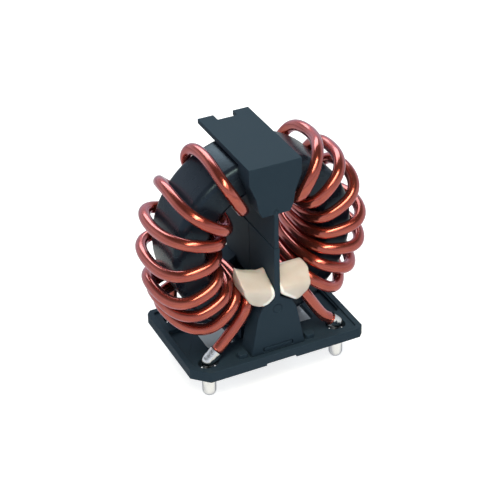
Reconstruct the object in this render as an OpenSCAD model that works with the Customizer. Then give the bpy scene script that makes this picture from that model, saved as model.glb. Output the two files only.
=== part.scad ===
// Vertical common mode choke on a four-pin base. All sizes are in millimetres.
//
// Two windings of thick enamelled wire sit left and right on a black ring core that stands on
// edge. A cap on top and a stand in front and behind keep the two windings apart, and the four
// stripped and tinned wire ends pass through the base as its pins.
//
// X runs along the base, Y from the front (-) to the back (+), Z up. Z = 0 is the underside of
// the base, where it meets the circuit board, and the origin is the centre of the four pins.

/* [Base] */
// Length of the base, left to right
base_l = 28; // [27:0.5:34]
// Width of the base, front to back
base_w = 19.2; // [19:0.2:26]
// Thickness of the base at its rim
base_t = 1.75; // [1.5:0.05:2.5]
// Width of the raised rim round the base
rim_w = 0.9; // [0.6:0.1:1.2]
// Depth of the floor below the rim
floor_drop = 0.3; // [0.2:0.05:0.5]
// Width of the pocket under the coil
pocket_w = 7; // [5:0.2:8]
// Depth of the pocket below the floor
pocket_drop = 0.6; // [0.3:0.05:0.7]
// Length of each window through the base
window_l = 4.5; // [3:0.1:5.5]
// Width of each window through the base
window_w = 6.4; // [4.4:0.1:6.8]
// Distance of each window's middle from the middle of the base
window_x = 6.65; // [6.4:0.05:7.6]
// Corner cut that marks pin one
pin_one_cut = 2.4; // [1.5:0.1:3]
// Cut on the other three corners
corner_cut = 0.7; // [0.3:0.1:1.2]

/* [Pins] */
// Distance between the left and right pins
pin_pitch_x = 21.4; // [20:0.1:24]
// Distance between the front and back pins
pin_pitch_y = 13.1; // [12.6:0.1:16]
// Diameter of a tinned pin
pin_d = 2.1; // [1.9:0.05:2.4]
// Length of a pin below the base
pin_length = 4.4; // [2.5:0.1:6]
// Length of the slot that a pin passes through
slot_l = 3; // [2.8:0.1:3.4]
// Gap between a pin and each side of its slot
slot_gap = 0.15; // [0.1:0.05:0.3]
// Length of tinned wire above the left front pin's bend
tinned_left = 2; // [1.3:0.1:3]
// Length of tinned wire above the right front pin's bend
tinned_right = 1.4; // [1.3:0.1:3]
// Height of tinned wire above the base on the back pins
tinned_back = 0.5; // [0.2:0.1:2]

/* [Core] */
// Outer diameter of the ring core
core_d = 28.8; // [27:0.2:31]
// Diameter of the core's bore
bore_d = 18.2; // [17:0.2:20]
// Thickness of the core, front to back
core_t = 9.7; // [8:0.1:11]
// Radius on the core's edges
core_edge = 1.3; // [0.6:0.05:1.6]
// Gap between the base and the bottom of the core
core_lift = 1.9; // [1.5:0.1:5]

/* [Windings] */
// Diameter of the enamelled wire
wire_d = 1.8; // [1.5:0.05:2]
// Gap between the wire and the core's bore
bore_slack = 0.45; // [0.3:0.05:0.7]
// Gap left between wires that lie side by side
turn_gap = 0.02; // [0.01:0.01:0.06]

/* [Divider] */
// Distance of the divider's front face from the core's face
divider_reach = 3.55; // [3.2:0.05:4.5]
// Wall of the cap's flange and of the stands
divider_wall = 1; // [0.7:0.05:1.2]
// Gap where one piece fits another
fit = 0.05; // [0.03:0.01:0.1]
// Width of the cap
cap_w = 8.25; // [7:0.05:9.5]
// Distance from the middle to the cap's back edge
cap_back = 9; // [7.5:0.1:10.5]
// Thickness of the cap's top plate
cap_t = 0.8; // [0.6:0.05:1.2]
// Width of the notch in the cap's back edge
notch_w = 3.1; // [2:0.1:4.5]
// Depth of the notch
notch_d = 1.6; // [0.8:0.1:2.5]
// Height of the cap's flange from the top of the cap
flange_h = 8.2; // [7.6:0.1:8.8]
// Height of the flange's straight sides
flange_straight = 2.5; // [1.5:0.1:3]
// Thickness of the cap's web between the windings
cap_web_t = 0.7; // [0.5:0.05:1]
// Thickness of the stands' web between the windings
stand_web_t = 0.9; // [0.6:0.05:1.1]
// Height where the cap's web meets the stands' web, above the core's centre
web_joint = 1.25; // [0:0.05:3]
// Width of the stand's foot on the base
foot_w = 8.9; // [8:0.1:10]
// Width of the foot at its shoulders
shoulder_w = 4.7; // [4:0.1:5.6]
// Height of the foot's shoulders above the base's floor
shoulder_h = 8.3; // [7.4:0.1:8.6]
// Height of the foot's peak above its shoulders
peak_h = 1.05; // [0.6:0.05:1.2]
// Width of the snap window in the foot
snap_w = 4.9; // [3:0.1:6]
// Height of the snap window
snap_h = 0.75; // [0.5:0.05:1.2]

/* [Adhesive] */
// Height of the pads' top edge below the core's centre, at the web
pad_top_drop = 3.6; // [2.8:0.1:4.2]
// How far the pads swell past the front of the divider
pad_swell = 0.3; // [0:0.05:0.5]
// Width of the left pad
pad_left_w = 5.5; // [4.5:0.1:5.8]
// Height of the left pad
pad_left_h = 5; // [4:0.1:5.2]
// Degrees by which the left pad's top climbs towards the turns
pad_left_climb = 16; // [0:1:20]
// Width of the right pad
pad_right_w = 6.1; // [5:0.1:6.8]
// Height of the right pad
pad_right_h = 5.3; // [4.4:0.1:5.6]

/* [Hidden] */
$fn = 96;
wire_sides = 12;
pass_steps = 11;
nothing = 0.01;

plastic = [0.12, 0.16, 0.19];
enamel = [0.72, 0.3, 0.2];
tinned = [0.82, 0.82, 0.83];
cream = [0.9, 0.83, 0.72];

floor_z = base_t - floor_drop;
pocket_z = floor_z - pocket_drop;
pin_x = pin_pitch_x / 2;
pin_y = pin_pitch_y / 2;
pin_r = pin_d / 2;
neck_r = min(wire_d / 2 - nothing, pin_r - 0.16);
core_r = core_d / 2;
bore_r = bore_d / 2;
core_face = core_t / 2;
core_z = base_t + core_lift + core_r;
wire_r = wire_d / 2;
wire_pitch = wire_d + turn_gap;
inner_r = bore_r - bore_slack - wire_r;

// Each turn lies in the bore, crosses the front of the core outwards and its back inwards.
// Angles are degrees above the horizontal through the core's centre, from the lowest turn up.
// The gaps say how the free arc is shared between neighbouring wires.
left_bore_span = [-66, 64];
left_bore_gaps = [0, 0, 16, 10, 0.5, 1, 8];
left_rim_span = [-32.5, 63.5];
left_rim_gaps = [2.5, 0, 8.5, 13.5, 15.5, 20];
right_bore_span = [-60, 55];
right_bore_gaps = [0, 0, 0, 0.5, 4, 15, 0.5];
right_rim_span = [-32, 52.5];
right_rim_gaps = [2.5, 8, 7.5, 15, 8, 7.5];

// How far each turn stands off the core, lowest turn first: at the rim, in front and behind,
// and how many degrees its front pass bows upwards.
left_slack = [[2.3, 0.95, 0.6, -7], [1.9, 2.2, 0.6, 0.5], [1.8, 2.2, 0.6, -3.5],
    [1.3, 2.2, 1.8, -2.5], [1.1, 2.2, 1.6, 0.5], [1.1, 2.1, 0.8, -3], [0.45, 1.8, 0.3, -3]];
right_slack = [[0.8, 1.4, 0.6, -6], [1, 1.5, 0.6, -1], [1.4, 1.3, 0.6, 0.5],
    [1.5, 0.8, 1.4, 1.5], [1.5, 0.9, 1.1, 1.5], [1.6, 2.2, 1.1, 5], [1.5, 2.2, 2.1, 9]];

divider_y = core_face + divider_reach;
cap_z = core_z + core_r + fit;
cap_top = cap_z + cap_t;
joint_z = core_z + web_joint;
shoulder_z = floor_z + shoulder_h;
peak_z = shoulder_z + peak_h;
pad_top = core_z - pad_top_drop;
pad_back = -core_face + 0.25;
back_lead_y = core_face + wire_r + 0.6 + wire_pitch;
bend_z = base_t + 0.05;

// Small sizes of the mouldings.
window_corner = 1.2;
pocket_corner = 0.4;
seat_gap = 0.9;
seat_w = 5.2;
recess_w = 1.2;
recess_h = 0.35;
bar_t = 0.8;
block = [1.5, 1.3, 0.75];
block_corner = 0.4;
block_gap = 0.35;
snap_lift = 0.25;
cap_mark_d = 0.7;
stand_mark_d = 1.5;
mark_depth = 0.12;
flange_tip_w = 4.4;
flange_neck_w = 5.5;
flange_neck_h = 1.1;
flange_taper = 2.5;
foot_bends = [[0.95, 0.6], [1.35, 0.83]];

// ---- Base ----

module base_outline(inset) {
    x = base_l / 2 - inset;
    y = base_w / 2 - inset;
    one = pin_one_cut - inset * 0.5;
    cut = max(corner_cut - inset * 0.5, 0.1);
    polygon([[-x + one, -y], [x - cut, -y], [x, -y + cut], [x, y - cut], [x - cut, y],
        [-x + cut, y], [-x, y - cut], [-x, -y + one]]);
}

module rounded_slot(length, width, corner) {
    square([length - 2 * corner, width], center = true);
    square([length, width - 2 * corner], center = true);
    for (x = [-1, 1], y = [-1, 1])
        translate([x * (length / 2 - corner), y * (width / 2 - corner)])
            circle(r = corner);
}

// Snap bar behind the foot, with a nose that fills the foot's window.
module snap_bar() {
    wide = snap_w - 6 * fit;
    nose_low = floor_z + snap_lift + fit;
    nose_high = floor_z + snap_lift + snap_h - fit;
    back = divider_y - divider_wall - fit;
    translate([-wide / 2, -back, floor_z - nothing])
        cube([wide, bar_t, nose_high - floor_z + nothing]);
    translate([-wide / 2, -divider_y, nose_low])
        cube([wide, divider_wall + fit + nothing, nose_high - nose_low]);
}

// Low block that steadies the foot, on each side of it.
module guide_block() {
    translate([foot_w / 2 + block_gap, -divider_y + 0.2, floor_z - nothing])
        linear_extrude(block[2] + nothing)
            translate([block[0] / 2, block[1] / 2])
                rounded_slot(block[0], block[1], block_corner);
}

module base() {
    seat_x = window_x - window_l / 2 - seat_gap;
    color(plastic) {
        difference() {
            linear_extrude(base_t)
                base_outline(0);
            translate([0, 0, floor_z])
                linear_extrude(base_t)
                    base_outline(rim_w);
            translate([0, 0, pocket_z])
                linear_extrude(base_t)
                    rounded_slot(base_l - 2 * rim_w - 0.4, pocket_w, pocket_corner);
            for (side = [-1, 1])
                translate([side * window_x, 0, -nothing])
                    linear_extrude(base_t)
                        rounded_slot(window_l, window_w, window_corner);
            for (x = [-1, 1], y = [-1, 1])
                translate([x * pin_x, y * pin_y, -nothing])
                    linear_extrude(base_t + 1)
                        rounded_slot(slot_l, pin_d + 2 * slot_gap, pin_r);
            // Shallow recesses under the snap bars, at the bottom of the front and back edges.
            for (turned = [0, 180])
                rotate([0, 0, turned])
                    translate([-snap_w / 2, -base_w / 2 - nothing, -nothing])
                        cube([snap_w, recess_w, recess_h]);
        }
        // Seat under the core, between the windows, hollowed to the core's radius.
        difference() {
            translate([-seat_x, -seat_w / 2, pocket_z - nothing])
                cube([2 * seat_x, seat_w, core_z - core_r + 1 - pocket_z]);
            translate([0, 0, core_z])
                rotate([90, 0, 0])
                    cylinder(r = core_r + fit, h = core_t, center = true);
        }
        for (turned = [0, 180])
            rotate([0, 0, turned]) {
                snap_bar();
                guide_block();
                mirror([1, 0, 0])
                    guide_block();
            }
    }
}

// ---- Core ----

module ring(clearance) {
    low = bore_r - clearance;
    high = core_r + clearance;
    half = core_face + clearance;
    translate([0, 0, core_z])
        rotate([90, 0, 0])
            rotate_extrude() {
                translate([low + core_edge, -half])
                    square([high - low - 2 * core_edge, 2 * half]);
                translate([low, -half + core_edge])
                    square([high - low, 2 * (half - core_edge)]);
                for (r = [low + core_edge, high - core_edge], y = [-1, 1])
                    translate([r, y * (half - core_edge)])
                        circle(r = core_edge);
            }
}

module core() {
    color(plastic)
        ring(0);
}

// ---- Windings ----

function unit(v) = v / norm(v);
function square_to(v, t) = unit(v - t * (v * t));
function total(list, count) = count <= 0 ? 0 : list[count - 1] + total(list, count - 1);
function power(v, p) = sign(v) * pow(abs(v), p);
function ease(f) = f * f * (3 - 2 * f);
function last(list) = list[len(list) - 1];

// Angles of wires packed from the bottom of a span up, with the free arc shared by the gaps.
function spread(span, gaps, radius) =
    let (step = 2 * asin(wire_pitch / (2 * radius)))
    let (free = max(span[1] - span[0] - step * len(gaps), 0))
    [for (i = [0:len(gaps)]) span[0] + i * step + free * total(gaps, i) / total(gaps, len(gaps))];

// A point at an angle and a radius from the core's centre.
function around(side, angle, radius, y) =
    [side * radius * cos(angle), y, core_z + radius * sin(angle)];

// A pass over the core from the bore to the rim: a soft rectangle that hugs the bore and rounds
// off at the rim, squarer where it lies close. t runs from 180 in the bore to 0 at the rim.
function across(t, rim, bore_squareness, rim_squareness) =
    let (power_here = 2 / (cos(t) < 0 ? bore_squareness : rim_squareness))
    [(inner_r + rim) / 2 + (rim - inner_r) / 2 * power(cos(t), power_here),
        pow(sin(t), power_here)];

function squareness(slack) = max(2.4, 3.4 - 0.9 * slack[0]);

function front_pass(side, from, to, slack) = [for (i = [0:pass_steps])
    let (share = i / pass_steps)
    let (p = across(180 * (1 - share), core_r + slack[0] + wire_r, 3, squareness(slack)))
    around(side, from + (to - from) * share + slack[3] * 4 * share * (1 - share), p[0],
        -p[1] * (core_face + slack[1] + wire_r))];

function back_pass(side, from, to, slack) = [for (i = [1:pass_steps - 1])
    let (share = i / pass_steps)
    let (p = across(180 * share, core_r + slack[0] + wire_r, 3.6, 1.25 * squareness(slack) - 0.6))
    around(side, from + (to - from) * ease(share), p[0],
        p[1] * (core_face + slack[2] + wire_r))];

// The turns from the highest, which starts in the bore, to the lowest, which ends there.
function turns(side, bore, rim, slack) = [for (i = [len(rim) - 1:-1:0])
    each concat(front_pass(side, bore[i + 1], rim[i], slack[i]),
        back_pass(side, rim[i], bore[i], slack[i]))];

// A smooth curve through the points between the first and the last one.
function through(points, steps) = [for (i = [1:len(points) - 3], s = [0:steps - 1])
    let (f = s / steps)
    let (a = points[i - 1], b = points[i], c = points[i + 1], d = points[i + 2])
    (2 * b + (c - a) * f + (2 * a - 5 * b + 4 * c - d) * f * f
        + (3 * b - 3 * c + d - a) * f * f * f) / 2];

// Where the tinned wire above a front pin ends and the enamel begins.
function front_start(side, tinned_run) =
    [side * (pin_x - tinned_run * sin(45)), -pin_y, bend_z + tinned_run * cos(45)];

// The lead from the lowest turn in the bore down to the tinned end in front.
function front_lead(side, angle, tinned_run) =
    let (end = front_start(side, tinned_run))
    let (bore_end = around(side, angle, inner_r, 0))
    let (slope = [-side, 0, 1])
    let (bend = [bore_end[0] + side * 0.85, -pin_y + 0.25, bore_end[2] - 1.3])
    let (drop = [bend[0] + side * 0.95, -pin_y, bend[2] - 1.6])
    concat(
        through([bore_end + [0, 2, 0], bore_end, bore_end + [0, -core_face * 0.95, -0.05], bend,
            drop, end + slope * 1.6, end + slope * 0.4, end], 4),
        [end + slope * 0.4, end]);

// The lead from a back pin up behind the turns and into the bore to the highest turn.
function back_lead(side, angle) =
    let (end = [side * pin_x, pin_y, base_t + tinned_back])
    let (bore_end = around(side, angle, inner_r, 0))
    concat([end],
        through([end - [0, 0, 1], end + [0, 0, 0.4],
            [side * pin_x * 0.965, back_lead_y - 0.6, core_z * 0.32],
            around(side, -42, bore_r * 1.3, back_lead_y),
            around(side, -12, bore_r * 0.76, back_lead_y),
            around(side, 38, bore_r * 0.56, back_lead_y - 0.3),
            bore_end + [-side * 0.1, core_face + 0.3, -0.5],
            bore_end + [0, core_face * 0.55, 0],
            bore_end], 4),
        [bore_end + [0, core_face * 0.55, 0]]);

function winding_path(side, bore_span, bore_gaps, rim_span, rim_gaps, slack, tinned_run) =
    let (bore = spread(bore_span, bore_gaps, inner_r))
    let (rim = spread(rim_span, rim_gaps, core_r + wire_r + 1.1))
    concat(back_lead(side, last(bore)), turns(side, bore, rim, slack),
        front_lead(side, bore[0], tinned_run));

left_path = winding_path(-1, left_bore_span, left_bore_gaps, left_rim_span, left_rim_gaps,
    left_slack, tinned_left);
right_path = winding_path(1, right_bore_span, right_bore_gaps, right_rim_span, right_rim_gaps,
    right_slack, tinned_right);

function direction(path, i) = unit(path[min(i + 1, len(path) - 1)] - path[max(i - 1, 0)]);

// Vectors square to the path that turn with it and don't twist round it.
function upright(path) = [for (i = 0, n = square_to([1, 0, 0], direction(path, 0));
    i < len(path);
    i = i + 1, n = i < len(path) ? square_to(n, direction(path, i)) : n) n];

// A round wire of one diameter along a path.
module wire(path, radius) {
    normals = upright(path);
    count = len(path);
    points = [for (i = [0:count - 1])
        let (t = direction(path, i), n = normals[i], b = cross(t, n))
        for (k = [0:wire_sides - 1])
            path[i] + radius * (n * cos(360 * k / wire_sides) + b * sin(360 * k / wire_sides))];
    wall = [for (i = [0:count - 2], k = [0:wire_sides - 1])
        let (a = i * wire_sides + k, b = i * wire_sides + (k + 1) % wire_sides)
        each [[a, a + wire_sides, b + wire_sides], [a, b + wire_sides, b]]];
    start = [for (k = [0:wire_sides - 1]) k];
    finish = [for (k = [wire_sides - 1:-1:0]) (count - 1) * wire_sides + k];
    polyhedron(points, concat(wall, [start, finish]));
}

module winding_left() {
    color(enamel)
        wire(left_path, wire_r);
}

module winding_right() {
    color(enamel)
        wire(right_path, wire_r);
}

// ---- Tinned wire ends ----

// The straight pin, down to its rounded tip. The solder ends where the pin enters the base.
module pin(top) {
    translate([0, 0, -pin_length + pin_r]) {
        cylinder(r = pin_r, h = pin_length - pin_r);
        sphere(r = pin_r);
    }
    translate([0, 0, -nothing])
        cylinder(r = neck_r, h = top + nothing);
}

// A front pin bends 45 degrees towards the middle of the base.
module tinned_front(side, tinned_run) {
    translate([side * pin_x, -pin_y, 0]) {
        pin(bend_z);
        translate([0, 0, bend_z]) {
            sphere(r = pin_r);
            rotate([0, -side * 45, 0])
                cylinder(r = pin_r, h = tinned_run);
        }
    }
}

module tinned_back_pin(side) {
    translate([side * pin_x, pin_y, 0])
        pin(base_t + tinned_back);
}

module tin_front_left() {
    color(tinned)
        tinned_front(-1, tinned_left);
}

module tin_front_right() {
    color(tinned)
        tinned_front(1, tinned_right);
}

module tin_back_left() {
    color(tinned)
        tinned_back_pin(-1);
}

module tin_back_right() {
    color(tinned)
        tinned_back_pin(1);
}

// ---- Divider: the cap and the two stands ----

// Half of an outline, given from the bottom up, made whole by mirroring it.
function both_sides(half) = concat(half,
    [for (i = [len(half) - 1:-1:0]) [-half[i][0], half[i][1]]]);

// A hollow trough that opens towards the core, with a front wall and two flanks.
module trough(outside, inside) {
    difference() {
        translate([0, -core_face - fit, 0])
            rotate([90, 0, 0])
                linear_extrude(divider_reach - fit)
                    polygon(outside);
        translate([0, -core_face, 0])
            rotate([90, 0, 0])
                linear_extrude(divider_reach - divider_wall)
                    polygon(inside);
    }
}

module ejector_mark(z, mark_d) {
    translate([0, -divider_y - nothing, z])
        rotate([-90, 0, 0])
            cylinder(d = mark_d, h = mark_depth);
}

function flange_half(inset, low, high) = [[flange_tip_w / 2 - inset, low],
    [flange_neck_w / 2 - inset, cap_top - flange_h + flange_neck_h],
    [cap_w * 0.38 - inset, cap_top - flange_straight - flange_taper],
    [cap_w / 2 - inset, cap_top - flange_straight], [cap_w / 2 - inset, high]];

module divider_cap() {
    color(plastic)
        difference() {
            union() {
                translate([-cap_w / 2, -divider_y, cap_z])
                    cube([cap_w, divider_y + cap_back, cap_t]);
                trough(both_sides(flange_half(0, cap_top - flange_h, cap_z + nothing)),
                    both_sides(flange_half(divider_wall * 0.8, cap_top - flange_h - 1, cap_z - 1)));
                translate([-cap_web_t / 2, -divider_y, joint_z + fit])
                    cube([cap_web_t, divider_y + core_face - fit, cap_z - joint_z]);
            }
            ring(fit);
            translate([-notch_w / 2, cap_back - notch_d, cap_z - 1])
                cube([notch_w, notch_d + 1, cap_t + 2]);
            ejector_mark(cap_top - flange_h + 0.45, cap_mark_d);
        }
}

function foot_half(inset, top_inset) = [[foot_w / 2 - inset, floor_z - (inset > 0 ? 1 : 0)],
    for (bend = foot_bends) [foot_w / 2 - bend[0] - inset, floor_z + shoulder_h * bend[1]],
    [shoulder_w / 2 - inset * 0.8, shoulder_z - top_inset],
    [stand_web_t / 2, peak_z - top_inset]];

module stand() {
    difference() {
        union() {
            trough(both_sides(foot_half(0, 0)), both_sides(foot_half(divider_wall, divider_wall)));
            translate([-stand_web_t / 2, -divider_y, peak_z - 1])
                cube([stand_web_t, divider_y - fit / 2, joint_z - peak_z + 1]);
        }
        ring(fit);
        translate([-snap_w / 2, -divider_y - 1, floor_z + snap_lift])
            cube([snap_w, divider_wall + 2, snap_h]);
        ejector_mark(shoulder_z - 0.85, stand_mark_d);
    }
}

module stand_front() {
    color(plastic)
        stand();
}

module stand_back() {
    color(plastic)
        rotate([0, 0, 180])
            stand();
}

// ---- Adhesive ----

// Room for the lead and the two lowest turns, where they leave the bore in front. It goes on
// behind and outside them, so that no thin strand of adhesive is left there.
module wire_room(side, path) {
    lead_points = 22;
    turn_points = 2 * pass_steps;
    for (back = [2, turn_points, 2 * turn_points], away = [0, 0.4, 0.8])
        translate([side * wire_d * away, wire_r * away, 0])
            wire([for (i = [0:14]) path[len(path) - lead_points - back + i]], wire_r + 2 * fit);
}

// The side view of a pad, from its top edge at the core down to the front and back again.
function pad_side(height) = [[pad_back, 0.2], [-core_face, 0],
    [-core_face - 0.25 * divider_reach, -0.15 * height],
    [-core_face - 0.6 * divider_reach, -0.27 * height],
    [-divider_y + pad_swell * 0.2, -0.42 * height],
    [-divider_y - pad_swell * 0.7, -0.5 * height],
    [-divider_y - pad_swell, -0.62 * height], [-divider_y - pad_swell * 0.9, -0.9 * height],
    [-divider_y - pad_swell * 0.7, -1.1 * height], [-divider_y + pad_swell, -1.2 * height],
    [pad_back, -1.2 * height]];

// A pad of set adhesive that fills the corner between the bore's bottom, the web, the stand
// and the lowest turns. Its top slopes down from the core to a front that swells out.
module adhesive(outline, width, height, climb) {
    intersection() {
        rotate([90, 0, 0])
            linear_extrude(divider_y + 1)
                polygon(outline);
        translate([0, 0, pad_top])
            rotate([0, climb, 0])
                translate([-width - 1, 0, 0])
                    rotate([90, 0, 90])
                        linear_extrude(2 * width + 2)
                            polygon(pad_side(height));
    }
}

module adhesive_left() {
    near = -stand_web_t / 2 - fit;
    w = pad_left_w;
    h = pad_left_h;
    color(cream)
        difference() {
            adhesive([[near, pad_top - 0.05 * h], [-0.33 * w, pad_top - 0.06 * h],
                [-0.73 * w, pad_top + 0.08 * h], [-0.97 * w, pad_top + 0.22 * h],
                [-w, pad_top - 0.1 * h], [-0.97 * w, pad_top - 0.35 * h],
                [-0.85 * w, pad_top - 0.62 * h], [-0.73 * w, pad_top - 0.75 * h],
                [-0.55 * w, pad_top - 0.85 * h], [-0.42 * w, pad_top - 0.87 * h],
                [-0.3 * w, pad_top - 0.84 * h], [-0.16 * w, pad_top - 0.73 * h],
                [near, pad_top - 0.6 * h]], w, h, pad_left_climb);
            ring(fit);
            stand_front();
            wire_room(-1, left_path);
        }
}

module adhesive_right() {
    near = stand_web_t / 2 + fit;
    w = pad_right_w;
    h = pad_right_h;
    color(cream)
        difference() {
            adhesive([[near, pad_top - 0.06 * h], [0.9 * w, pad_top - 0.06 * h],
                [0.96 * w, pad_top - 0.13 * h], [w, pad_top - 0.22 * h],
                [0.93 * w, pad_top - 0.37 * h], [0.87 * w, pad_top - 0.55 * h],
                [0.77 * w, pad_top - 0.71 * h], [0.6 * w, pad_top - 0.87 * h],
                [0.49 * w, pad_top - 0.91 * h], [near, pad_top - 0.57 * h]], w, h, 0);
            ring(fit);
            stand_front();
            wire_room(1, right_path);
        }
}

base();
core();
winding_left();
winding_right();
tin_front_left();
tin_front_right();
tin_back_left();
tin_back_right();
divider_cap();
stand_front();
stand_back();
adhesive_left();
adhesive_right();
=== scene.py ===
"""Looks of a vertical common mode choke: two windings of enamelled wire on a ring core.

The sections follow the choke as it is put together: the moulded base, the coated ring core,
the moulded cap and stands that part its two windings, the windings, their tinned ends, and
the adhesive. The studio, the lamps and the camera come last. All sizes are in metres.
"""

import math

import bpy
from mathutils import Matrix, Quaternion, Vector


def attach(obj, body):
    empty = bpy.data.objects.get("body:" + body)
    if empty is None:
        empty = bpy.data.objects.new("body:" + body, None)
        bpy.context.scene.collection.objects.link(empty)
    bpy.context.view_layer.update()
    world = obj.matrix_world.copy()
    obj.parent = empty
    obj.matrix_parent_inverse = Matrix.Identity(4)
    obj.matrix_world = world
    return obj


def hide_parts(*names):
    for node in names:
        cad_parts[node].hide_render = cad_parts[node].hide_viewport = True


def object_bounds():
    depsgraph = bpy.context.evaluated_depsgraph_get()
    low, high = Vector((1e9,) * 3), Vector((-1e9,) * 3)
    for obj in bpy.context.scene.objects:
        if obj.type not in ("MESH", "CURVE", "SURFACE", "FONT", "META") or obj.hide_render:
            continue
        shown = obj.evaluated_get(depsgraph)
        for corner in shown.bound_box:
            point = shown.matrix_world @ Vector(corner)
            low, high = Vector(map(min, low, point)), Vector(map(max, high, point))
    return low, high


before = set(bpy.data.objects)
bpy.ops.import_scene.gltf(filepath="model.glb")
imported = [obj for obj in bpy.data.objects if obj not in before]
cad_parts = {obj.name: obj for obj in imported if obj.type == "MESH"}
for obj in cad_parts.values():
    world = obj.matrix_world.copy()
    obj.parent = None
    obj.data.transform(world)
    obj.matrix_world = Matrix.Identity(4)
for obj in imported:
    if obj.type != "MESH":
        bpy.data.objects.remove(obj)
cad_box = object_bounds()

MM = 0.001

# ---------------------------------------------------------------------------------------
# Base. A plate of black moulded plastic with a raised rim, two windows under the coil and
# a slot for each pin. One corner is cut off to show pin one.
# ---------------------------------------------------------------------------------------

MERGE_WITHIN = 0.002 * MM
FLAT_WITHIN = math.radians(0.6)
CORNER_OVER = math.radians(32)
SMOOTH_UNDER = math.radians(40)
BASE_RADIUS = 0.09 * MM
FLOW_WAVES = 260
GRAIN_WAVES = 5200
GRAIN_DEPTH = 0.02 * MM


def take_up(node, name):
    """A merged copy of a CAD solid, ready to be dressed, with nothing else selected."""
    bpy.ops.object.select_all(action="DESELECT")
    piece = bpy.data.objects.new(name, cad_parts[node].data.copy())
    bpy.context.scene.collection.objects.link(piece)
    bpy.context.view_layer.objects.active = piece
    piece.select_set(True)
    piece.data.materials.clear()
    bpy.ops.mesh.customdata_custom_splitnormals_clear()
    bpy.ops.object.mode_set(mode="EDIT")
    bpy.ops.mesh.select_mode(type="VERT")
    bpy.ops.mesh.select_all(action="SELECT")
    bpy.ops.mesh.remove_doubles(threshold=MERGE_WITHIN)
    bpy.ops.object.mode_set(mode="OBJECT")
    return piece


def finish_with(piece, name, kind, **settings):
    """Applies one modifier to the mesh of a piece."""
    modifier = piece.modifiers.new(name, kind)
    for setting, value in settings.items():
        setattr(modifier, setting, value)
    bpy.ops.object.modifier_apply(modifier=modifier.name)


def break_edges(piece, radius):
    """Gives a moulding the small radius that its tool leaves on every corner."""
    bpy.ops.object.mode_set(mode="EDIT")
    bpy.ops.mesh.select_all(action="SELECT")
    bpy.ops.mesh.dissolve_limited(angle_limit=FLAT_WITHIN)
    bpy.ops.object.mode_set(mode="OBJECT")
    finish_with(
        piece,
        "mould_radius",
        "BEVEL",
        width=radius,
        segments=3,
        limit_method="ANGLE",
        angle_limit=CORNER_OVER,
        use_clamp_overlap=False,
        miter_outer="MITER_ARC",
    )
    bpy.ops.object.shade_smooth_by_angle(angle=SMOOTH_UNDER)
    finish_with(piece, "flat_faces", "WEIGHTED_NORMAL", weight=100, keep_sharp=True)


def settle(piece, material, slot, *nodes):
    """Paints a finished piece and hands it over to the frame."""
    piece.data.materials.clear()
    piece.data.materials.append(material)
    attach(piece, "root")
    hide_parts(*nodes)


def fill(tree, node, sockets):
    """Gives sockets of a node a value of their own, or the output of another node."""
    for name, value in sockets.items():
        if isinstance(value, bpy.types.NodeSocket):
            tree.links.new(value, node.inputs[name])
        else:
            node.inputs[name].default_value = value


def put(tree, kind, sockets, **settings):
    """Adds a node to a tree, sets it up and fills its sockets."""
    node = tree.nodes.new(kind)
    for setting, value in settings.items():
        setattr(node, setting, value)
    fill(tree, node, sockets)
    return node


def math_node(tree, operation, *values):
    """The result of one sum on values or sockets."""
    node = put(tree, "ShaderNodeMath", dict(enumerate(values)), operation=operation)
    return node.outputs["Value"]


def object_noise(tree, scale, detail=2.0, stretch=(1, 1, 1)):
    """Noise fixed to the piece itself. Scale is in waves per metre."""
    place = put(tree, "ShaderNodeTexCoord", {})
    turn = put(tree, "ShaderNodeMapping", {"Vector": place.outputs["Object"], "Scale": stretch})
    noise = put(
        tree,
        "ShaderNodeTexNoise",
        {"Vector": turn.outputs["Vector"], "Scale": scale, "Detail": detail},
    )
    return noise.outputs["Fac"]


def mixed(tree, factor, first, second):
    """A colour that runs from a first to a second with the factor."""
    mix = put(tree, "ShaderNodeMix", {"Factor": factor, "A": first, "B": second}, data_type="RGBA")
    return mix.outputs["Result"]


def raised(tree, waves, strength, depth):
    """Normals that follow waves on the surface."""
    bump = put(tree, "ShaderNodeBump", {"Height": waves, "Strength": strength, "Distance": depth})
    return bump.outputs["Normal"]


def skin_group(name, inputs):
    """A node group with named inputs, and outputs for colour, roughness and normals."""
    group = bpy.data.node_groups.new(name, "ShaderNodeTree")
    sockets = group.interface
    for label, kind, value in inputs:
        socket = sockets.new_socket(name=label, in_out="INPUT", socket_type="NodeSocket" + kind)
        socket.default_value = value
    sockets.new_socket(name="Base", in_out="OUTPUT", socket_type="NodeSocketColor")
    sockets.new_socket(name="Rough", in_out="OUTPUT", socket_type="NodeSocketFloat")
    sockets.new_socket(name="Bumped", in_out="OUTPUT", socket_type="NodeSocketVector")
    return group


def moulded_skin():
    """Node group: the faint flow and grain of a moulded or dipped surface."""
    group = skin_group(
        "moulded_skin",
        (
            ("Colour", "Color", (0.02, 0.03, 0.04, 1)),
            ("Faded", "Color", (0.03, 0.04, 0.05, 1)),
            ("Roughness", "Float", 0.4),
            ("Grain", "Float", 0.05),
            ("Flow", "Float", 0.1),
        ),
    )
    given = group.nodes.new("NodeGroupInput").outputs
    flow = object_noise(group, FLOW_WAVES, 3.0)
    about_middle = math_node(group, "SUBTRACT", flow, 0.5)
    varied = math_node(group, "MULTIPLY_ADD", about_middle, given["Flow"], given["Roughness"])
    grain = object_noise(group, GRAIN_WAVES)
    put(
        group,
        "NodeGroupOutput",
        {
            "Base": mixed(group, flow, given["Colour"], given["Faded"]),
            "Rough": varied,
            "Bumped": raised(group, grain, given["Grain"], GRAIN_DEPTH),
        },
    )
    return group


def blank_material(name):
    """A material, with its tree and its shader still to be filled."""
    material = bpy.data.materials.new(name)
    material.use_nodes = True
    return material, material.node_tree, material.node_tree.nodes["Principled BSDF"]


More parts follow.
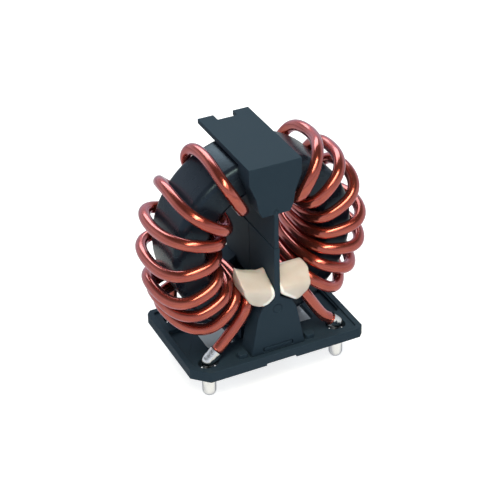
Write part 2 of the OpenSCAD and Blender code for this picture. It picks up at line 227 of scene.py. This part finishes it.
moulding_skin = moulded_skin()


def black_material(name, shine, values):
    """A black finish that draws on the moulded skin, with a cool tint to its shine."""
    material, tree, shader = blank_material(name)
    surface = put(tree, "ShaderNodeGroup", values, node_tree=moulding_skin).outputs
    fill(
        tree,
        shader,
        {
            "Base Color": surface["Base"],
            "Roughness": surface["Rough"],
            "Normal": surface["Bumped"],
            "Specular IOR Level": shine,
            "Specular Tint": (0.55, 0.80, 1.0, 1),
        },
    )
    return material


black_plastic = black_material(
    "black_plastic",
    shine=0.34,
    values={
        "Colour": (0.013, 0.025, 0.041, 1),
        "Faded": (0.019, 0.034, 0.053, 1),
        "Roughness": 0.68,
        "Flow": 0.12,
        "Grain": 0.25,
    },
)

base = take_up("base", "moulded_base")
break_edges(base, BASE_RADIUS)
settle(base, black_plastic, "black_plastic", "base")

# ---------------------------------------------------------------------------------------
# Ring core. Pressed ferrite with a smooth, glossy black coat that rounds its edges. It
# stands on edge in the base's seat.
# ---------------------------------------------------------------------------------------

black_coat = black_material(
    "black_coating",
    shine=0.4,
    values={
        "Colour": (0.008, 0.012, 0.021, 1),
        "Faded": (0.014, 0.019, 0.031, 1),
        "Roughness": 0.28,
        "Flow": 0.12,
        "Grain": 0.1,
    },
)

core = take_up("core", "coated_core")
bpy.ops.object.shade_smooth_by_angle(angle=SMOOTH_UNDER)
settle(core, black_coat, "black_coating", "core")

# ---------------------------------------------------------------------------------------
# Divider. A cap hooks over the core from above, and two stands snap into the base. Their
# webs meet in the bore. All three are moulded in the base's plastic.
# ---------------------------------------------------------------------------------------

DIVIDER_RADIUS = 0.1 * MM

for node, name in (
    ("divider_cap", "moulded_cap"),
    ("stand_front", "moulded_stand_front"),
    ("stand_back", "moulded_stand_back"),
):
    moulding = take_up(node, name)
    break_edges(moulding, DIVIDER_RADIUS)
    settle(moulding, black_plastic, "black_plastic", node)

# ---------------------------------------------------------------------------------------
# Windings. Thick copper wire with a clear reddish enamel, wound by hand round each half of
# the core. Rounding off its faces draws the wire in, so it is thickened by as much first.
# ---------------------------------------------------------------------------------------

LOST_IN_ROUNDING = 0.041 * MM
FACES_JOIN_UNDER = math.radians(60)
SQUARE_WITHIN = math.radians(80)


def graded(tree, source, start, end, first, last, ease="LINEAR"):
    """Turns a value between start and end into one between first and last, held past both."""
    levels = put(
        tree,
        "ShaderNodeMapRange",
        {"Value": source, "From Min": start, "From Max": end, "To Min": first, "To Max": last},
        interpolation_type=ease,
    )
    return levels.outputs["Result"]


def set_skin():
    """Node group: drifting colour, dull patches and soft waves, as a liquid leaves them."""
    group = skin_group(
        "set_skin",
        (
            ("Dark", "Color", (0.4, 0.4, 0.4, 1)),
            ("Light", "Color", (0.5, 0.5, 0.5, 1)),
            ("Drifts", "Float", 350),
            ("Drift Detail", "Float", 3.0),
            ("Glossy", "Float", 0.1),
            ("Dull", "Float", 0.3),
            ("Patches", "Float", 800),
            ("Waves", "Float", 900),
            ("Stretch", "Vector", (1, 1, 1)),
            ("Strength", "Float", 0.5),
            ("Depth", "Float", 0.1 * MM),
        ),
    )
    given = group.nodes.new("NodeGroupInput").outputs
    drift = object_noise(group, given["Drifts"], given["Drift Detail"])
    shade = graded(group, drift, start=0.3, end=0.7, first=0, last=1)
    patches = object_noise(group, given["Patches"], 3.0)
    gloss = graded(group, patches, start=0, end=1, first=given["Glossy"], last=given["Dull"])
    waves = object_noise(group, given["Waves"], stretch=given["Stretch"])
    put(
        group,
        "NodeGroupOutput",
        {
            "Base": mixed(group, shade, given["Dark"], given["Light"]),
            "Rough": gloss,
            "Bumped": raised(group, waves, given["Strength"], given["Depth"]),
        },
    )
    return group


liquid_skin = set_skin()


def enamel_material():
    """Copper seen through a thin red enamel with a gloss of its own."""
    material, tree, shader = blank_material("enamelled_copper")
    surface = put(
        tree,
        "ShaderNodeGroup",
        {
            "Dark": (0.45, 0.080, 0.054, 1),
            "Light": (0.55, 0.116, 0.074, 1),
            "Drifts": 330,
            "Drift Detail": 2.0,
            "Glossy": 0.17,
            "Dull": 0.27,
            "Patches": 700,
            "Waves": 900,
            "Strength": 0.12,
            "Depth": 0.04 * MM,
        },
        node_tree=liquid_skin,
    ).outputs
    fill(
        tree,
        shader,
        {
            "Base Color": surface["Base"],
            "Roughness": surface["Rough"],
            "Normal": surface["Bumped"],
            "Metallic": 0.9,
            "Specular Tint": (0.75, 0.50, 0.80, 1),
            "Coat Weight": 1.0,
            "Coat Roughness": 0.1,
        },
    )
    return material


enamelled_copper = enamel_material()

for side in ("left", "right"):
    wire = take_up("winding_" + side, "wound_wire_" + side)
    bpy.ops.object.mode_set(mode="EDIT")
    bpy.ops.mesh.select_all(action="SELECT")
    bpy.ops.mesh.tris_convert_to_quads(
        face_threshold=FACES_JOIN_UNDER, shape_threshold=SQUARE_WITHIN
    )
    bpy.ops.transform.shrink_fatten(value=LOST_IN_ROUNDING)
    bpy.ops.object.mode_set(mode="OBJECT")
    finish_with(wire, "drawn_wire", "SUBSURF", levels=2, render_levels=2)
    bpy.ops.object.shade_smooth()
    settle(wire, enamelled_copper, "enamelled_copper", "winding_" + side)

# ---------------------------------------------------------------------------------------
# Tinned ends. The enamel is stripped and the copper dipped in solder, which leaves a
# bright and slightly uneven skin. The tin is painted dark in a band where each end
# enters the base, as painted shade of the slot.
# ---------------------------------------------------------------------------------------

SLOT_SHADE_HEIGHT = 0.8 * MM
SLOT_SHADE_FULL_WITHIN = 0.8 * MM
SLOT_SHADE_GONE_PAST = 1.6 * MM
PIN_SMOOTH_UNDER = math.radians(50)


def tin_material():
    """Dipped solder: bright metal with soft runs, duller patches and a painted shade band at the
    base.
    """
    material, tree, shader = blank_material("dipped_tin")
    place = put(tree, "ShaderNodeTexCoord", {})
    split = put(tree, "ShaderNodeSeparateXYZ", {"Vector": place.outputs["Object"]})
    # Painted shade: the tin is painted dark in a band where each end passes into the base.
    above = math_node(tree, "SUBTRACT", split.outputs["Z"], SLOT_SHADE_HEIGHT)
    away = math_node(tree, "ABSOLUTE", above)
    slot_shade = graded(tree, away, SLOT_SHADE_FULL_WITHIN, SLOT_SHADE_GONE_PAST, 1, 0, ease="SMOOTHSTEP")
    surface = put(
        tree,
        "ShaderNodeGroup",
        {
            "Glossy": 0.06,
            "Dull": 0.3,
            "Patches": 900,
            "Waves": 1700,
            "Stretch": (1, 1, 0.5),
            "Strength": 0.8,
            "Depth": 0.12 * MM,
        },
        node_tree=liquid_skin,
    ).outputs
    fill(
        tree,
        shader,
        {
            "Base Color": mixed(tree, slot_shade, (0.88, 0.88, 0.89, 1), (0.14, 0.145, 0.15, 1)),
            "Roughness": surface["Rough"],
            "Normal": surface["Bumped"],
            "Metallic": 1.0,
            "Specular Tint": (0.3, 0.32, 0.35, 1),
        },
    )
    return material


dipped_tin = tin_material()

for end in ("front_left", "front_right", "back_left", "back_right"):
    pin = take_up("tin_" + end, "tinned_end_" + end)
    bpy.ops.object.shade_smooth_by_angle(angle=PIN_SMOOTH_UNDER)
    settle(pin, dipped_tin, "tin", "tin_" + end)

# ---------------------------------------------------------------------------------------
# Adhesive. Two pads of cream adhesive, pressed in from the front while wet, that lock the
# lowest turns to the core and the stand. They set with a glossy, swollen skin, and with a
# thin bead along the stand, painted white as a painted highlight.
# ---------------------------------------------------------------------------------------

BEAD_WIDTH = 0.42 * MM
BEAD_HEIGHT = 0.06 * MM
BEADS = {
    "left": [(-0.72, 12.6), (-0.8, 11.7), (-1.05, 11.1), (-1.65, 10.6), (-2.3, 10.4)],
    "right": [(0.6, 14.3), (0.7, 12.2), (0.8, 11.6), (2.7, 10.05)],
}


def adhesive_material():
    """Set adhesive: a dense cream body, a little light under the skin, a clear gloss, and a bead
    painted white as a painted highlight.
    """
    material, tree, shader = blank_material("cream_adhesive")
    surface = put(
        tree,
        "ShaderNodeGroup",
        {
            "Dark": (0.63, 0.55, 0.50, 1),
            "Light": (0.70, 0.63, 0.59, 1),
            "Drifts": 350,
            "Drift Detail": 3.0,
            "Waves": 500,
            "Strength": 0.3,
            "Depth": 0.15 * MM,
        },
        node_tree=liquid_skin,
    ).outputs
    # Painted highlight: the bead along the stand is painted white.
    rim = put(tree, "ShaderNodeAttribute", {}, attribute_name="rim")
    fill(
        tree,
        shader,
        {
            "Base Color": mixed(tree, rim.outputs["Fac"], surface["Base"], (1, 1, 1, 1)),
            "Normal": surface["Bumped"],
            "Roughness": 0.3,
            "Subsurface Weight": 0.2,
            "Subsurface Scale": 0.6 * MM,
            "Coat Weight": 0.6,
            "Coat Roughness": 0.1,
        },
    )
    return material


def bead(pad, line, width, height):
    """Raises a glossy bead where the pad meets the stand, along a line of x and z in mm, and marks
    it for the painted highlight that whitens it.
    """
    rim = pad.data.attributes.new("rim", "FLOAT", "POINT")
    for index, vertex in enumerate(pad.data.vertices):
        here = Vector((vertex.co.x, vertex.co.z))
        away = width
        for start, end in zip(line, line[1:]):
            a, b = Vector(start) * MM, Vector(end) * MM
            along = max(0.0, min(1.0, (here - a).dot(b - a) / (b - a).length_squared))
            away = min(away, (a.lerp(b, along) - here).length)
        near = 1 - away / width
        rim.data[index].value = near * near * (3 - 2 * near)
    lifts = [vertex.normal * rim.data[vertex.index].value * height for vertex in pad.data.vertices]
    for vertex, lift in zip(pad.data.vertices, lifts):
        vertex.co += lift


cream_adhesive = adhesive_material()

for side in ("left", "right"):
    pad = take_up("adhesive_" + side, "adhesive_pad_" + side)
    finish_with(pad, "even_out", "REMESH", mode="VOXEL", voxel_size=0.11 * MM)
    finish_with(pad, "soften", "SMOOTH", factor=0.5, iterations=16)
    bead(pad, BEADS[side], BEAD_WIDTH, BEAD_HEIGHT)
    bpy.ops.object.shade_smooth()
    settle(pad, cream_adhesive, "cream_adhesive", "adhesive_" + side)

# ---------------------------------------------------------------------------------------
# Studio. The choke stands on its four pins on a plain white floor in a white surround. The
# floor keeps the choke's shadow. Past it the camera sees the floor brighter, and so do the
# pins close by.
# ---------------------------------------------------------------------------------------

FLOOR_Z = cad_box[0][2]
FLOOR_SIZE = 6
SHADOW_MIDDLE = (1.6 * MM, 5.6 * MM, 0)
SHADOW_REACH = (12.6 * MM, 8.6 * MM, 1)
SHADOW_EDGE = (0.82, 1.06)
PINS_MIDDLE = (0, 0, 0)
PINS_REACH = (20 * MM, 17 * MM, 1)
PINS_EDGE = (0.8, 1.1)
FLOOR_GLOW = 0.75
GLOW_IN_PINS = 0.5
STUDIO_LIGHT = 0.48
STUDIO_BACKGROUND = 1.05
MIRRORED_BAND = (0.1, 0.75)
MIRRORED_LOW = 0.8
MIRRORED_HIGH = 0.06

bpy.ops.object.select_all(action="DESELECT")
bpy.ops.mesh.primitive_plane_add(size=FLOOR_SIZE, location=(0, 0, FLOOR_Z))
floor = bpy.context.object
floor.name = "floor"
bpy.ops.object.transform_apply(location=True, rotation=True, scale=True)


def share_of_reach(tree, middle, reach):
    """How far a place on the floor lies from a middle, where 1 is the edge of an oval."""
    place = put(tree, "ShaderNodeTexCoord", {}).outputs["Object"]
    way = put(tree, "ShaderNodeVectorMath", {0: place, 1: middle}, operation="SUBTRACT")
    shrunk = {0: way.outputs["Vector"], 1: reach}
    share = put(tree, "ShaderNodeVectorMath", shrunk, operation="DIVIDE")
    length = put(tree, "ShaderNodeVectorMath", {0: share.outputs["Vector"]}, operation="LENGTH")
    return length.outputs["Value"]


def paper_material():
    """Matt white paper, with a glow for the camera and for what mirrors it by the pins."""
    material, tree, shader = blank_material("white_paper")
    tree.nodes.remove(shader)
    past_shadow = share_of_reach(tree, SHADOW_MIDDLE, SHADOW_REACH)
    lift = graded(tree, past_shadow, *SHADOW_EDGE, 0, FLOOR_GLOW, ease="SMOOTHSTEP")
    past_pins = share_of_reach(tree, PINS_MIDDLE, PINS_REACH)
    in_pins = graded(tree, past_pins, *PINS_EDGE, GLOW_IN_PINS, 0, ease="SMOOTHSTEP")
    rays = put(tree, "ShaderNodeLightPath", {}).outputs
    mirrored = math_node(tree, "MULTIPLY", rays["Is Glossy Ray"], in_pins)
    seen = math_node(tree, "ADD", mirrored, rays["Is Camera Ray"])
    strength = math_node(tree, "MULTIPLY", lift, seen)
    matt = put(tree, "ShaderNodeBsdfDiffuse", {"Color": (0.62, 0.63, 0.65, 1)})
    glow = put(tree, "ShaderNodeEmission", {"Color": (1, 1, 1, 1), "Strength": strength})
    layers = {0: matt.outputs["BSDF"], 1: glow.outputs["Emission"]}
    both = put(tree, "ShaderNodeAddShader", layers)
    fill(tree, tree.nodes["Material Output"], {"Surface": both.outputs["Shader"]})
    return material


floor.data.materials.append(paper_material())

world = bpy.data.worlds.new("studio")
bpy.context.scene.world = world
world.use_nodes = True
tree = world.node_tree
direction = put(tree, "ShaderNodeTexCoord", {}).outputs["Generated"]
height = put(tree, "ShaderNodeSeparateXYZ", {"Vector": direction}).outputs["Z"]
mirrored = graded(tree, height, *MIRRORED_BAND, MIRRORED_LOW, MIRRORED_HIGH, ease="SMOOTHSTEP")
rays = put(tree, "ShaderNodeLightPath", {}).outputs
levels = {"Factor": rays["Is Glossy Ray"], "A": STUDIO_LIGHT, "B": mirrored}
unseen = put(tree, "ShaderNodeMix", levels).outputs["Result"]
levels = {"Factor": rays["Is Camera Ray"], "A": unseen, "B": STUDIO_BACKGROUND}
strength = put(tree, "ShaderNodeMix", levels).outputs["Result"]
studio_light = {"Color": (0.90, 0.96, 1.04, 1), "Strength": strength}
fill(tree, tree.nodes["Background"], studio_light)

# ---------------------------------------------------------------------------------------
# Lamps. A long, narrow soft box before a wide one, both above the choke's front, gives the
# warm streaks on the turns. A panel behind gives the sheen on the cap, and a weak box fills
# from the left without being mirrored.
# ---------------------------------------------------------------------------------------

MIDDLE = Vector((0, 0, 16 * MM))
WARM = (1.0, 0.93, 0.78)
AMBER = (1.0, 0.93, 0.66)
COOL = (0.80, 0.94, 1.0)


def soft_box(name, towards, distance, size, watts, tint, turned=0, mirrored=True):
    """A soft box that faces the choke from a direction, turned about that direction."""
    lamp = bpy.data.lights.new(name, "AREA")
    lamp.shape = "RECTANGLE"
    lamp.size, lamp.size_y = size
    lamp.energy = watts
    lamp.color = tint
    holder = bpy.data.objects.new(name, lamp)
    holder.visible_glossy = mirrored
    way = Vector(towards).normalized()
    holder.location = MIDDLE + way * distance
    facing = (-way).to_track_quat("-Z", "Y") @ Quaternion((0, 0, 1), math.radians(turned))
    holder.rotation_euler = facing.to_euler()
    bpy.context.scene.collection.objects.link(holder)


soft_box(
    "wide_box",
    towards=(0.02, -0.50, 0.87),
    distance=0.30,
    size=(0.28, 0.16),
    watts=0.24,
    tint=WARM,
    turned=45,
)
soft_box(
    "key_box",
    towards=(-0.14, -0.42, 0.90),
    distance=0.29,
    size=(0.29, 0.075),
    watts=0.58,
    tint=AMBER,
    turned=45,
)
soft_box(
    "back_panel",
    towards=(0.2, 0.80, 0.60),
    distance=0.45,
    size=(0.30, 0.16),
    watts=0.55,
    tint=COOL,
)
soft_box(
    "left_fill",
    towards=(-0.8, -0.50, 0.35),
    distance=0.5,
    size=(0.4, 0.4),
    watts=0.17,
    tint=COOL,
    mirrored=False,
)

# ---------------------------------------------------------------------------------------
# Camera. It looks down on the choke from the front and a little to the left, through a long
# lens, and leans a little to one side.
# ---------------------------------------------------------------------------------------

AZIMUTH = math.radians(-24.99)
ELEVATION = math.radians(32.76)
ROLL = math.radians(-1.47)
CAMERA_PLACE = Vector((-84.0 * MM, -179.45 * MM, 141.85 * MM))
FOCAL_LENGTH = 113.6
FILM_WIDTH = 36

behind = Vector(
    (
        math.sin(AZIMUTH) * math.cos(ELEVATION),
        -math.cos(AZIMUTH) * math.cos(ELEVATION),
        math.sin(ELEVATION),
    )
)
level_right = (-behind).cross(Vector((0, 0, 1))).normalized()
level_up = level_right.cross(-behind)
right = level_right * math.cos(ROLL) + level_up * math.sin(ROLL)
up = level_up * math.cos(ROLL) - level_right * math.sin(ROLL)
turn = Matrix((right, up, behind)).transposed().to_4x4()

view = bpy.data.cameras.new("camera")
view.lens = FOCAL_LENGTH
view.sensor_width = FILM_WIDTH
view.clip_start = 10 * MM
camera = bpy.data.objects.new("camera", view)
camera.matrix_world = Matrix.Translation(CAMERA_PLACE) @ turn
bpy.context.scene.collection.objects.link(camera)
bpy.context.scene.camera = camera

bpy.context.scene.view_settings.view_transform = "Standard"
